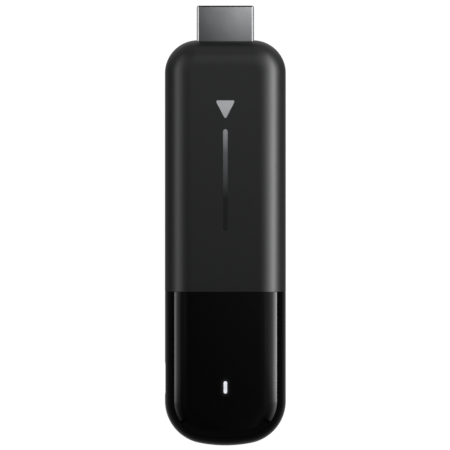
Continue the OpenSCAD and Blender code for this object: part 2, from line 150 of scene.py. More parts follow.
# ---------------------------------------------------------------- chips
# Processor, memory, flash, radio and regulators: silicon moulded into black epoxy on a thin
# base, soldered flat on the board.

def moulding_compound():
    """Epoxy moulding compound: charcoal with fine grey filler grains, quite matt."""
    material, tree, places = new_material("epoxy_moulding_compound")
    filler = noise(tree, places, 0.12 * mm, 4)
    surface(tree, {"Base Color": tones(tree, filler, (0.3, "151618"), (0.75, "2a2b2e")),
                   "Roughness": 0.55, "IOR": 1.55,
                   "Normal": relief(tree, filler, 0.25, 0.01 * mm)})
    return material


dress(moulding_compound(), "processor", "memory_chips", "flash_chip", "radio_chip",
      "power_regulators")


# ---------------------------------------------------------------- small parts on the board
# Coils pressed from ferrite powder, capacitors of fired tan ceramic, resistors with a dark glaze,
# all soldered to the board's front.

def fired(name, dark, light, grain_size, roughness):
    """A pressed and fired part: one colour that wanders a little, with a fine dry grain."""
    material, tree, places = new_material(name)
    grain = noise(tree, places, grain_size, 5)
    surface(tree, {"Base Color": tones(tree, grain, (0.3, dark), (0.7, light)),
                   "Roughness": roughness, "IOR": 1.6,
                   "Normal": relief(tree, grain, 0.2, 0.01 * mm)})
    return material


dress(fired("pressed_ferrite", "2c2e33", "45484e", 0.2 * mm, 0.6), "inductors")
dress(fired("fired_ceramic", "8f7350", "b4946a", 0.15 * mm, 0.45), "capacitors")
dress(fired("glazed_ceramic", "1b1d21", "303338", 0.15 * mm, 0.3), "resistors")


# ---------------------------------------------------------------- sheet-metal shields and crystals
# A frame soldered round the processor and memory with a lid that snaps over it, two one-piece
# cans, and the lids of the clock crystals, all pressed from thin tinned steel.

def streaks(tree, places, across, along, axis, detail=4):
    """Fine streaks along an axis: noise with one size across them and another along them."""
    sizes = [1 / across] * 3
    sizes["XYZ".index(axis)] = 1 / along
    drawn = add(tree, "ShaderNodeMapping", {"Vector": places, "Scale": sizes})
    return noise(tree, drawn.outputs["Vector"], 1, detail)


def rolled_sheet(name, dark, light, roughness, line, axis):
    """Rolled and plated sheet: metal with faint rolling lines that run along one axis."""
    material, tree, places = new_material(name)
    lines = streaks(tree, places, line, 40 * line, axis)
    cloud = noise(tree, places, 6 * mm)
    surface(tree, {"Base Color": tones(tree, cloud, (0.3, dark), (0.7, light)), "Metallic": 1,
                   "Roughness": between(tree, lines, roughness * 0.8, roughness * 1.25),
                   "Normal": relief(tree, lines, 0.08, 0.004 * mm)})
    return material


tinned_steel = rolled_sheet("tinned_steel", "b3b6b8", "c9cbcc", 0.3, 0.08 * mm, "Y")
dress(tinned_steel, "shield_frame", "shield_lid", "radio_shield", "rear_shield", "clock_crystals")


# ---------------------------------------------------------------- pads, heat spreaders and foam
# Soft grey-blue silicone pads carry the heat from the chips through the shields to two aluminium
# plates. Three foam strips press the rear plate against its pad.

def filled_silicone():
    """Silicone filled with ceramic powder: pale grey-blue, matt, with a slight mottle."""
    material, tree, places = new_material("filled_silicone")
    mottle = noise(tree, places, 0.6 * mm, 6)
    surface(tree, {"Base Color": tones(tree, mottle, (0.3, "8b98aa"), (0.7, "a5b1c0")),
                   "Roughness": 0.7, "IOR": 1.41,
                   "Normal": relief(tree, mottle, 0.4, 0.02 * mm)})
    return material


def open_foam():
    """Open-cell urethane foam: dark grey, with round cells that show as pits, their hollows
    darkened with painted shade.
    """
    material, tree, places = new_material("open_cell_foam")
    cell = 0.35 * mm
    pits = add(tree, "ShaderNodeTexVoronoi", {"Vector": places, "Scale": 1 / cell})
    depth = pits.outputs["Distance"]
    # painted shade: the colour darkens towards each pit's bottom, where the relief sinks
    surface(tree, {"Base Color": tones(tree, depth, (0.1, "1d1e20"), (0.6, "3a3b3e")),
                   "Roughness": 0.9, "IOR": 1.45,
                   "Normal": relief(tree, depth, 0.8, 0.1 * mm)})
    return material


dress(filled_silicone(), "chip_pads", "spreader_pad", "rear_pad")
dress(rolled_sheet("rolled_aluminium", "b0b3b6", "c6c8ca", 0.35, 0.12 * mm, "Y"),
      "heat_spreader", "rear_heat_spreader")
dress(open_foam(), "rear_foam")


# ---------------------------------------------------------------- antennas and screws
# Two folded bronze strips stand at the far end, where the cap lets radio waves through. Four
# zinc-plated screws hold the board to the front cover's bosses.

dress(rolled_sheet("tinned_bronze", "b7a983", "cbbf9c", 0.32, 0.1 * mm, "X"),
      "antenna_left", "antenna_right")
dress(rolled_sheet("zinc_plated_steel", "83878a", "9a9da0", 0.35, 0.1 * mm, "X"), "board_screws")


# ---------------------------------------------------------------- plug: insulator and contacts
# A black liquid-crystal-polymer block with a slot, pushed into the plug's shell, and nineteen
# gold-plated contacts along the slot's two long walls, soldered to both faces of the board.

def moulded_polymer():
    """Glass-filled connector plastic: near black, satin, with flow streaks along the moulding."""
    material, tree, places = new_material("glass_filled_polymer")
    flow = streaks(tree, places, 0.2 * mm, 3 * mm, "Y")
    surface(tree, {"Base Color": tones(tree, flow, (0.3, "0f0f10"), (0.75, "1c1c1e")),
                   "Roughness": between(tree, flow, 0.4, 0.55), "IOR": 1.6})
    return material


dress(moulded_polymer(), "plug_insulator", "port_insulator")
dress(rolled_sheet("gold_plated_bronze", "b98f3a", "d3ab55", 0.22, 0.05 * mm, "Y"),
      "plug_contacts", "port_contacts")


# ---------------------------------------------------------------- plug: shell
# Thin steel folded into a tube with two cut lower corners, its seam in the middle of the back,
# nickel plated. Its mouth is drawn in a little, and two legs run back beside the board.

def finished(bm, name, material, angle=30):
    """Turns a mesh in the making into a piece that rides on root: its faces outwards, and smooth
    where they meet below an angle."""
    bmesh.ops.recalc_face_normals(bm, faces=bm.faces)
    mesh = bpy.data.meshes.new(name)
    bm.to_mesh(mesh)
    bm.free()
    mesh.shade_smooth()
    mesh.set_sharp_from_angle(angle=math.radians(angle))
    mesh.materials.append(material)
    piece = bpy.data.objects.new(name, mesh)
    bpy.context.scene.collection.objects.link(piece)
    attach(piece, "root")
    return piece


def skin(bm, loops, close=True):
    """Joins closed loops of points, one to the next, with quads. Gives the loops' vertices."""
    rings = [[bm.verts.new(p) for p in loop] for loop in loops]
    pairs = list(zip(rings, rings[1:]))
    if close:
        pairs.append((rings[-1], rings[0]))
    for a, b in pairs:
        for i in range(len(a)):
            k = (i + 1) % len(a)
            bm.faces.new((a[i], a[k], b[k], b[i]))
    return rings


def box_between(bm, low, high):
    """A closed box between two corners."""
    made = bmesh.ops.create_cube(bm, size=1)["verts"]
    for v in made:
        v.co = Vector([low[i] + (v.co[i] + 0.5) * (high[i] - low[i]) for i in range(3)])


def quarter(radius, steps):
    """Points of a quarter circle about the origin, each an x and a y."""
    for i in range(steps + 1):
        a = math.radians(90 * i / steps)
        yield radius * math.cos(a), radius * math.sin(a)


plug_low, plug_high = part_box("plug_shell")
plug_half_w = (plug_high.x - plug_low.x) / 2
plug_half_h = (plug_high.z - plug_low.z) / 2
plug_z = (plug_high.z + plug_low.z) / 2
plug_l = 15.7 * mm
plug_back = plug_high.y - plug_l
plug_sheet = 0.3 * mm
plug_corner = 0.7 * mm
plug_least_corner = 0.15 * mm
plug_cut_w = 1.6 * mm
plug_cut_drop = 0.24
plug_cut_blend = 0.35 * mm
plug_seam = 0.06 * mm
plug_seam_foot = 0.4 * plug_seam
plug_steps = 8
mouth = 0.5 * mm
mouth_turn = math.radians(66)
mouth_flat = 0.1 * mm
mouth_chamfer = 0.08 * mm
mouth_depth = 1.3 * mouth


def plug_loop(inset, y):
    """The shell's section at an inset: round upper corners, cut lower ones, a seam below."""
    half_w, half_h = plug_half_w - inset, plug_half_h - inset
    radius = max(plug_corner - inset, plug_least_corner)
    corner = [(half_w - radius + u, half_h - radius + v) for u, v in quarter(radius, plug_steps)]
    step_z, cut_x = -plug_half_h * plug_cut_drop, half_w - plug_cut_w
    side, foot = Vector((half_w, step_z)), Vector((cut_x, -half_h))
    lean = (foot - side).normalized() * plug_cut_blend
    groove = plug_seam if inset < plug_sheet else 0
    right = corner[::-1] + [(half_w, step_z + plug_cut_blend), tuple(side + lean)]
    right += [tuple(foot - lean), (cut_x - plug_cut_blend, -half_h)]
    right += [(plug_seam, -half_h), (plug_seam_foot, -half_h + groove)]
    left = [(-x, z) for x, z in reversed(right)]
    return [Vector((x, y, plug_z + z)) for x, z in right + left]


def nickel_plate():
    """Bright nickel on steel: a satin metal, a little cloudy, with faint draw lines along it."""
    material, tree, places = new_material("nickel_plated_steel")
    lines = streaks(tree, places, 0.08 * mm, 6 * mm, "Y", detail=3)
    cloud = noise(tree, places, 5 * mm)
    surface(tree, {"Base Color": tones(tree, cloud, (0.35, "a4a5a7"), (0.65, "adaeb0")),
                   "Metallic": 1, "Roughness": between(tree, lines, 0.24, 0.28)})
    return material


def plug_shell():
    """The plug's shell: a tube with a drawn-in mouth, and two legs."""
    bm = bmesh.new()
    tip = plug_high.y
    loops = [plug_loop(0, plug_back)]
    for i in range(plug_steps + 1):
        a = mouth_turn * i / plug_steps
        lip = mouth * (1 - math.cos(a))
        loops.append(plug_loop(lip, tip - mouth * (1 - math.sin(a) / math.sin(mouth_turn))))
    loops.append(plug_loop(lip + mouth_flat, tip))
    loops.append(plug_loop(lip + mouth_flat + mouth_chamfer, tip - mouth_flat))
    loops.append(plug_loop(plug_sheet, tip - mouth_depth))
    loops.append(plug_loop(plug_sheet, plug_back))
    skin(bm, loops)
    leg_half = plug_half_h / 2
    for side in (-1, 1):
        xs = sorted((side * plug_half_w, side * (plug_half_w - plug_sheet)))
        box_between(bm, (xs[0], plug_low.y, plug_z - leg_half),
                    (xs[1], plug_back, plug_z + leg_half))
    shell = finished(bm, "plug_sleeve", nickel_plate(), 40)
    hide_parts("plug_shell")
    return shell


plug_sleeve = plug_shell()


# ---------------------------------------------------------------- power port
# A standard receptacle: a folded steel shell, tinned, round a plastic tongue with five gold
# contacts. It sits in a notch of the board, its mouth just inside the cap's left side.

dress(tinned_steel, "port_shell")


# ---------------------------------------------------------------- status light
# A small lamp on the board shines up a frosted pipe that ends flush in the cap. A black silicone
# sleeve round both keeps the light out of the case.

pipe_low, pipe_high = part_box("light_pipe")
pipe_middle = (pipe_low + pipe_high) / 2
lamp_white = linear("f6f9ff")


def calc(tree, operation, first, second=0):
    """One step of arithmetic on values."""
    return add(tree, "ShaderNodeMath", {0: first, 1: second}, operation=operation).outputs["Value"]


def soft_black():
    """Silicone rubber: deep grey, matt, with a trace of dust in its grain."""
    material, tree, places = new_material("silicone_rubber")
    dust = noise(tree, places, 0.3 * mm, 5)
    surface(tree, {"Base Color": tones(tree, dust, (0.4, "161617"), (0.8, "252526")),
                   "Roughness": 0.8, "IOR": 1.41})
    return material


def lit_pipe():
    """Frosted polycarbonate lit from below: even white, a touch brighter towards its two ends."""
    material, tree, places = new_material("frosted_polycarbonate")
    along = add(tree, "ShaderNodeSeparateXYZ", {"Vector": places}).outputs["Y"]
    away = calc(tree, "ABSOLUTE", calc(tree, "SUBTRACT", along, pipe_middle.y))
    surface(tree, {"Base Color": linear("9a9c9e"), "Roughness": 0.4, "IOR": 1.58,
                   "Emission Color": lamp_white,
                   "Emission Strength": between(tree, away, 0.46, 0.62, end=1.5 * mm)})
    return material


def lamp_resin():
    """Phosphor-filled resin: warm cream, slightly waxy."""
    material, tree, places = new_material("phosphor_resin")
    grain = noise(tree, places, 0.1 * mm)
    surface(tree, {"Base Color": tones(tree, grain, (0.3, "ece6c8"), (0.7, "f7f3df")),
                   "Roughness": 0.35, "IOR": 1.5})
    return material


dress(soft_black(), "light_shroud")
dress(lit_pipe(), "light_pipe")
dress(lamp_resin(), "status_led")


# ---------------------------------------------------------------- front cover
# Upper front of the case: a shell of charcoal ABS, 1.4 mm thick, moulded in a spark-textured
# tool. It has four screw bosses, and half of the ring that slides into the end cap.

wall = 1.4 * mm
shoulder_r = 8 * mm
end_corner_r = 10.4 * mm
end_arc_r = 32 * mm
front_round = 6.6 * mm
back_round = 5.4 * mm
edge_r = 0.05 * mm
half_gap = 0.06 * mm
least_row = 0.02 * mm
rows_per_side = 28
edge_rows = 4
rim_steps = 3
arc_steps = 24
end_arc_steps = 12
case_low, case_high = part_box("front_cover")
end_low, end_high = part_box("end_cap")
half_w = (case_high.x - case_low.x) / 2
top_z = case_high.z
mid_z = top_z / 2
end_y = end_low.y
split_low = end_high.y
split_high = split_low + 0.05 * mm
top_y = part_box("rear_cover")[1].y
shoulder_y = top_y - shoulder_r
arc_rise = math.sqrt((end_arc_r - end_corner_r) ** 2 - (half_w - end_corner_r) ** 2)
corner_y = end_y + end_arc_r - arc_rise
arc_angle = math.asin((half_w - end_corner_r) / (end_arc_r - end_corner_r))


def side_rows(inset, front):
    """Rows up one rounded edge, from the widest line to a flat face. Each is an inset, a height,
    and how far its normal points outwards and upwards."""
    width = (front_round if front else back_round) - inset
    height = mid_z - inset
    sign = 1 if front else -1
    out = []
    for i in range(rows_per_side + 1):
        a = math.radians(90 * i / rows_per_side)
        lean = math.atan2(height * math.cos(a), width * math.sin(a))
        out.append((inset + width * (1 - math.cos(a)), mid_z + sign * height * math.sin(a),
                    math.sin(lean), sign * math.cos(lean)))
    return out


def parted(rows, edge, front):
    """Rows that start on a parting edge beside the widest line, with the edge's rounding."""
    sign = 1 if front else -1
    out = []
    for i in range(edge_rows):
        a = math.radians(90 * i / edge_rows)
        rise = half_gap + edge * (1 - math.cos(a))
        out.append((rows[0][0] + edge * (1 - math.sin(a)), mid_z + sign * rise, 1, 0))
    start = mid_z + sign * (half_gap + edge)
    return out + [r for r in rows if (r[1] - start) * sign > least_row]


def column(centre, radius, angle, sink=0):
    """A place on the case's outline, from an arc's centre, its radius and a direction. Also gives
    the way out from it, and how far it is sunk."""
    out = Vector((math.cos(math.radians(angle)), math.sin(math.radians(angle)), 0))
    return Vector((*centre, 0)) + out * radius, out, sink


def arc_columns(centre, radius, start, sweep):
    """Columns along an arc of the outline."""
    return [column(centre, radius, start + sweep * i / arc_steps) for i in range(arc_steps + 1)]


def rim_columns(y, sign, upward):
    """Columns at the end of a shell's straight side, sunk where the cut edge is rounded."""
    out = []
    for i in range(rim_steps + 1):
        a = math.radians(90 * i / rim_steps)
        run = edge_r * (1 - math.cos(a)) * (1 if upward else -1)
        sink = edge_r * (1 - math.sin(a))
        out.append(column((0, y + run), half_w, 0 if sign > 0 else 180, sink))
    return out


def upper_path():
    """The outline of the matte covers, from the right end of the cut round the top to the left."""
    arcs = []
    for sign, start in ((1, 0), (-1, 90)):
        arcs += arc_columns((sign * (half_w - shoulder_r), shoulder_y), shoulder_r, start, 90)
    return rim_columns(split_high, 1, True) + arcs + rim_columns(split_high, -1, True)[::-1]


def lower_path():
    """The outline of the end cap, from the right end of the cut round the far end to the left."""
    bow = math.degrees(arc_angle)
    turn = 90 - bow
    corner_x = half_w - end_corner_r
    right = arc_columns((corner_x, corner_y), end_corner_r, 0, -turn)
    across = [column((0, end_y + end_arc_r), end_arc_r, -90 + bow * (1 - 2 * i / end_arc_steps))
              for i in range(1, end_arc_steps)]
    left = arc_columns((-corner_x, corner_y), end_corner_r, 180, turn)[::-1]
    around = right + across + left
    return rim_columns(split_low, 1, False) + around + rim_columns(split_low, -1, False)[::-1]


def grid(bm, path, rows, rounded=True):
    """A curved sheet of points: a column for each place on the outline, a row for each height."""
    sheet = []
    for inset, z, out, up in rows:
        row = []
        for place, way, sink in path:
            sunk = sink if rounded else 0
            lowered = Vector((0, 0, z - up * sunk))
            row.append(bm.verts.new(place - way * (inset + out * sunk) + lowered))
        sheet.append(row)
    for low, high in zip(sheet, sheet[1:]):
        for i in range(len(low) - 1):
            bm.faces.new((low[i], low[i + 1], high[i + 1], high[i]))
    return sheet


def flat(bm, row):
    """Closes a row with the flat face inside it, and with the strips of its rounded cut edge."""
    n = len(row)
    for i in range(rim_steps):
        bm.faces.new((row[i], row[i + 1], row[n - 2 - i], row[n - 1 - i]))
    bm.faces.new(row[rim_steps:n - rim_steps])


def cut_face(bm, outer, inner):
    """The flat ring between the outer and the inner sheet where the shell was cut."""
    for i in (0, -1):
        for j in range(len(outer) - 1):
            bm.faces.new((outer[j][i], outer[j + 1][i], inner[j + 1][i], inner[j][i]))


def bridge(bm, outer, inner):
    """The strip across the cut between the two flat faces."""
    bm.faces.new((outer[0], outer[-1], inner[-1], inner[0]))


def half_shell(path, front):
    """One matte cover: outer and inner sheets joined along the parting edge and the cut."""
    bm = bmesh.new()
    outer_rows = parted(side_rows(0, front), edge_r, front)
    inner_rows = parted(side_rows(wall, front), 0, front)
    count = min(len(outer_rows), len(inner_rows))
    outer_rows, inner_rows = [rows[:edge_rows] + rows[len(rows) - count + edge_rows:]
                              for rows in (outer_rows, inner_rows)]
    outer, inner = grid(bm, path, outer_rows), grid(bm, path, inner_rows, rounded=False)
    flat(bm, outer[-1])
    flat(bm, inner[-1])
    cut_face(bm, outer, inner)
    bridge(bm, outer[-1], inner[-1])
    for i in range(len(path) - 1):
        bm.faces.new((outer[0][i], outer[0][i + 1], inner[0][i + 1], inner[0][i]))
    return bm


def textured_abs():
    """ABS from a spark-textured tool: charcoal, evenly matt, a fine grain with a slight sparkle."""
    material, tree, places = new_material("spark_textured_abs")
    grain = noise(tree, places, 0.3 * mm, 5, Roughness=0.65)
    cloud = noise(tree, places, 9 * mm)
    surface(tree, {"Base Color": tones(tree, grain, (0.3, "08090a"), (0.7, "0d0e10")),
                   "Roughness": between(tree, cloud, 0.37, 0.4), "IOR": 1.6,
                   "Specular IOR Level": 0.8, "Normal": relief(tree, grain, 0.22, 0.03 * mm)})
    return material


def carve(piece, bm, operation):
    """Joins a second solid to a piece, or cuts it away, and keeps the result as its mesh."""
    bmesh.ops.recalc_face_normals(bm, faces=bm.faces)
    mesh = bpy.data.meshes.new("tool")
    bm.to_mesh(mesh)
    bm.free()
    tool = bpy.data.objects.new("tool", mesh)
    bpy.context.scene.collection.objects.link(tool)
    step = piece.modifiers.new("carve", "BOOLEAN")
    step.operation, step.solver, step.object = operation, "EXACT", tool
    bpy.context.view_layer.update()
    shaped = piece.evaluated_get(bpy.context.evaluated_depsgraph_get())
    result = bpy.data.meshes.new_from_object(shaped)
    piece.modifiers.clear()
    piece.data = result
    bpy.data.objects.remove(tool)


def evened(piece):
    """Lets large faces lead the shading, so that flat and round surfaces meet without a trace."""
    step = piece.modifiers.new("even_shading", "WEIGHTED_NORMAL")
    step.keep_sharp = True
    step.weight = 80


def prism(bm, loop, run):
    """A closed solid from a loop of points, moved along a vector."""
    run = Vector(run)
    rings = skin(bm, [loop, [p + run for p in loop]], close=False)
    bm.faces.new(rings[0])
    bm.faces.new(rings[1])


def section_loop(inset, y, front):
    """Half of the case's section across its width, at one place along the case."""
    rows = side_rows(inset, front)[::2]
    rows[0] = (rows[0][0], mid_z + (half_gap if front else -half_gap), 1, 0)
    right = [Vector((half_w - r[0], y, r[1])) for r in rows]
    return right + [Vector((-p.x, y, p.z)) for p in reversed(right)]


fit = 0.1 * mm
spigot_l = 4 * mm
spigot_t = 1 * mm
spigot_root = 2 * mm
spigot_bite = 0.3 * mm


def half_ring(front):
    """Half of the ring that slides into the end cap: a bowed plate, its ends at the parting."""
    bm = bmesh.new()
    loops = []
    for y, grow in ((split_high + spigot_root, -spigot_bite), (split_high + edge_r, -spigot_bite),
                    (split_high + edge_r, fit), (split_low - spigot_l, fit)):
        outside = section_loop(wall + grow, y, front)
        inside = section_loop(wall + fit + spigot_t, y, front)
        loops.append(outside + inside[::-1])
    rings = skin(bm, loops, close=False)
    for ring in (rings[0], rings[-1]):
        half = len(ring) // 2
        for i in range(half - 1):
            bm.faces.new((ring[i], ring[i + 1], ring[-2 - i], ring[-1 - i]))
    return bm


def plug_window():
    """The plug's section with its clearance, as a bar to cut out of the top wall."""
    bm = bmesh.new()
    beside_seam = 0.1 * mm
    loop = [p for p in plug_loop(-fit, shoulder_y + 2 * mm) if abs(p.x) > beside_seam]
    prism(bm, loop, (0, shoulder_r, 0))
    return bm


def tube(bm, x, y, low, high, radius):
    """An upright round bar."""
    made = bmesh.ops.create_cone(bm, cap_ends=True, segments=40, radius1=radius, radius2=radius,
                                 depth=high - low)
    bmesh.ops.translate(bm, vec=(x, y, (low + high) / 2), verts=made["verts"])


screw_low, screw_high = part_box("board_screws")
screw_head_r = 1.5 * mm
screw_x = screw_high.x - screw_head_r
screw_rows = (screw_low.y + screw_head_r, screw_high.y - screw_head_r)
boss_r = 2 * mm
pilot_r = 0.85 * mm
pilot_l = 4 * mm
board_low, board_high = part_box("main_board")
abs_matte = textured_abs()


def front_cover():
    """The front cover's shell, ring and bosses, with holes for the screws and the plug."""
    piece = finished(half_shell(upper_path(), True), "front_case_half", abs_matte)
    carve(piece, half_ring(True), "UNION")
    bosses, pilots = bmesh.new(), bmesh.new()
    for x in (-screw_x, screw_x):
        for y in screw_rows:
            tube(bosses, x, y, board_high.z, top_z - wall * 0.9, boss_r)
            tube(pilots, x, y, board_high.z - mm, board_high.z + pilot_l, pilot_r)
    carve(piece, bosses, "UNION")
    carve(piece, pilots, "DIFFERENCE")
    carve(piece, plug_window(), "DIFFERENCE")
    evened(piece)
    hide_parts("front_cover")
    return piece


front_half = front_cover()


# ---------------------------------------------------------------- rear cover
# Upper back of the case, moulded like the front in the same charcoal ABS. A lip along each side
# reaches up inside the front cover and snaps into it.

lip_x = half_w - wall - fit
lip_t = 0.8 * mm
lip_foot = 0.4 * mm
lip_start, lip_end = split_high + 4 * mm, shoulder_y - mm
lip_low, lip_high = mid_z - 1.6 * mm, mid_z + mm
foot_low, foot_high = mid_z - 1.5 * mm, mid_z - 0.3 * mm
foot_inset = 0.1 * mm


def rear_cover():
    """The rear cover's shell and ring, and its two lips with their feet in the wall."""
    piece = finished(half_shell(upper_path(), False), "rear_case_half", abs_matte)
    carve(piece, half_ring(False), "UNION")
    lips = bmesh.new()
    for side in (-1, 1):
        xs = sorted((side * (lip_x - lip_t), side * lip_x))
        box_between(lips, (xs[0], lip_start, lip_low), (xs[1], lip_end, lip_high))
        xs = sorted((side * (lip_x - lip_foot), side * (lip_x + lip_foot)))
        box_between(lips, (xs[0], lip_start + foot_inset, foot_low),
                    (xs[1], lip_end - foot_inset, foot_high))
    carve(piece, lips, "UNION")
    carve(piece, plug_window(), "DIFFERENCE")
    evened(piece)
    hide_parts("rear_cover")
    return piece


rear_half = rear_cover()


# ---------------------------------------------------------------- end cap
# The far end of the case: one deep cup of black polycarbonate from a mirror-polished tool. It
# slides over the covers' ring and lets radio waves, the light and the power plug through.

port_corner_r = 0.5 * mm
port_cut_w = 0.8 * mm
port_cut_drop = 0.12
port_rim = 0.3 * mm
port_rim_depth = 0.25 * mm
light_hole_w = 0.86 * mm
light_hole_l = 2.96 * mm
cap_l = 37.5 * mm
rib_x = 0.4 * half_w
rib_y = end_y + 0.45 * cap_l
rib_half_l = 0.25 * cap_l
rib_half_t = 0.4 * mm
rib_bite = 0.3 * mm


def painted_pipe_glow(tree, places):
    """A painted glow of the status light on the cap's front: emission that falls off with the
    distance to the pipe's round-ended outline, and fades out towards the middle of the case's
    thickness."""
    pipe_r, pipe_straight, fall_off = 0.4 * mm, 1.05 * mm, 0.23 * mm
    off = add(tree, "ShaderNodeVectorMath", {0: places, 1: tuple(pipe_middle)},
              operation="SUBTRACT")
    parts = add(tree, "ShaderNodeSeparateXYZ", {"Vector": off.outputs["Vector"]})
    along = calc(tree, "ABSOLUTE", parts.outputs["Y"])
    past = calc(tree, "MAXIMUM", calc(tree, "SUBTRACT", along, pipe_straight))
    flat_off = add(tree, "ShaderNodeCombineXYZ", {"X": parts.outputs["X"], "Y": past})
    away = add(tree, "ShaderNodeVectorMath", {0: flat_off.outputs["Vector"]}, operation="LENGTH")
    near = calc(tree, "SUBTRACT", away.outputs["Value"], pipe_r)
    fall = calc(tree, "EXPONENT", calc(tree, "DIVIDE", near, -fall_off))
    height = add(tree, "ShaderNodeSeparateXYZ", {"Vector": places}).outputs["Z"]
    return calc(tree, "MULTIPLY", fall, between(tree, height, 0, 0.04, mid_z, top_z))


def polished_polycarbonate():
    """Polycarbonate from a polished tool: black and clear-cut like glass, with the faintest swell.
    Emission close round the pipe paints a glow of the status light on it."""
    material, tree, places = new_material("polished_polycarbonate")
    swell = noise(tree, places, 5 * mm, 1)
    haze = noise(tree, places, 1.5 * mm, 5)
    surface(tree, {"Base Color": tones(tree, haze, (0.3, "020203"), (0.7, "030304")),
                   "Roughness": between(tree, haze, 0.05, 0.08), "IOR": 1.5,
                   "Specular IOR Level": 0.25, "Normal": relief(tree, swell, 0.05, 0.02 * mm),
                   # painted glow: emission on the cap round the pipe, standing in for the status
                   # light's halo
                   "Emission Color": lamp_white,
                   "Emission Strength": painted_pipe_glow(tree, places)})
    return material


def cup():
    """The cap's outer and inner sheets, joined where the cup is open."""
    bm = bmesh.new()
    sheets = []
    for inset, rounded in ((0, True), (wall, False)):
        rows = side_rows(inset, False)[::-1] + side_rows(inset, True)[1:]
        sheets.append(grid(bm, lower_path(), rows, rounded))
    outer, inner = sheets
    for sheet in sheets:
        flat(bm, sheet[0])
        flat(bm, sheet[-1])
    cut_face(bm, outer, inner)
    bridge(bm, outer[0], inner[0])
    bridge(bm, outer[-1], inner[-1])
    return bm


def pill_loop(width, length, y, z):
    """A long round-ended outline along the case."""
    radius, steps = width / 2, 16
    out = []
    for end, start in ((1, 0), (-1, 180)):
        middle = y + end * (length / 2 - radius)
        for i in range(steps + 1):
            a = math.radians(start + 180 * i / steps)
            out.append(Vector((radius * math.cos(a), middle + radius * math.sin(a), z)))
    return out


def port_loop(grow, x):
    """The power port's section at one place across the case, grown by a clearance."""
    low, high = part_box("port_shell")
    half_l = (high.y - low.y) / 2 + grow
    half_h = (high.z - low.z) / 2 + grow
    y, z = (high.y + low.y) / 2, (high.z + low.z) / 2
    radius = port_corner_r + grow
    out = [(half_l - radius + u, half_h - radius + v) for u, v in quarter(radius, 6)]
    out += [(-u, v) for u, v in reversed(out)]
    cut_z = -port_cut_drop * 2 * half_h
    out += [(-half_l, cut_z), (-half_l + port_cut_w, -half_h),
            (half_l - port_cut_w, -half_h), (half_l, cut_z)]
    return [Vector((x, y + u, z + v)) for u, v in out]


def end_cap():
    """The cap's cup with its two ribs, the light's hole, and the port's opening and rim."""
    piece = finished(cup(), "polished_end", polished_polycarbonate())
    hole = bmesh.new()
    outline = pill_loop(light_hole_w, light_hole_l, pipe_middle.y, top_z - 2 * wall)
    prism(hole, outline, (0, 0, 4 * wall))
    carve(piece, hole, "DIFFERENCE")
    for grow, depth in ((fit, 2 * wall), (port_rim, port_rim_depth)):
        window = bmesh.new()
        prism(window, port_loop(grow, -half_w - mm), (mm + depth, 0, 0))
        carve(piece, window, "DIFFERENCE")
    ribs = bmesh.new()
    for side in (-1, 1):
        box_between(ribs, (side * rib_x - rib_half_t, rib_y - rib_half_l, wall - rib_bite),
                    (side * rib_x + rib_half_t, rib_y + rib_half_l, board_low.z))
    carve(piece, ribs, "UNION")
    evened(piece)
    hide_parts("end_cap")


end_cap()


# ---------------------------------------------------------------- printed mark
# A plain play triangle above a progress line, stamped on the front cover in foil that fades
# from silver near the plug to glossy black.

mark_w = 4.8 * mm
mark_high = top_y - 14.9 * mm
mark_low = mark_high - 31.4 * mm
film = 0.012 * mm
triangle_l = mark_w * 0.95
triangle_tip_r = 0.35 * mm
tip_steps = 4
line_gap = 2.4 * mm
line_w = 1.1 * mm


def stamped_foil():
    """Hot-stamped foil: satin silver at its upper end, turning to black along the mark."""
    material, tree, places = new_material("stamped_foil")
    y = add(tree, "ShaderNodeSeparateXYZ", {"Vector": places}).outputs["Y"]
    along = between(tree, y, 0, 1, mark_low, mark_high)
    grain = noise(tree, places, 0.4 * mm, 3)
    colour = tones(tree, along, (0.25, "0a0b0c"), (0.6, "4a4b4d"), (0.95, "a9aaac"))
    surface(tree, {"Base Color": colour, "Roughness": between(tree, grain, 0.36, 0.44),
                   "IOR": 1.5})
    return material


def printed_mark():
    """The triangle with its rounded tips, and the line below it, as one thin film."""
    bm = bmesh.new()
    base = top_z - film
    corners = [(-mark_w / 2, mark_high), (mark_w / 2, mark_high), (0, mark_high - triangle_l)]
    middle = Vector((0, mark_high - triangle_l / 3, 0))
    loop = []
    for x, y in corners:
        corner = Vector((x, y, 0))
        inwards = (middle - corner).normalized()
        centre = corner + inwards * 2 * triangle_tip_r
        facing = math.atan2(-inwards.y, -inwards.x)
        for k in range(-tip_steps, tip_steps + 1):
            a = facing - math.radians(60) * k / tip_steps
            loop.append(Vector((centre.x + triangle_tip_r * math.cos(a),
                                centre.y + triangle_tip_r * math.sin(a), base)))
    prism(bm, loop, (0, 0, 2 * film))
    line_l = mark_high - triangle_l - line_gap - mark_low
    prism(bm, pill_loop(line_w, line_l, mark_low + line_l / 2, base), (0, 0, 2 * film))
    finished(bm, "stamped_mark", stamped_foil())


printed_mark()


# ---------------------------------------------------------------- studio
# A white lit floor and a camera straight above with a long lens. Tall soft lights stand on each
# side, low ones past both ends, and small cards hang over the covers, the cap and the plug.

def grey(value):
    """A neutral colour of one strength."""
    return (value, value, value, 1)


def shades(*stops):
    """Stops of a fade, each a place and a strength."""
    return [(place, grey(value)) for place, value in stops]


def turned(stops):
    """A fade that runs the other way."""
    return [(1 - place, colour) for place, colour in reversed(stops)]


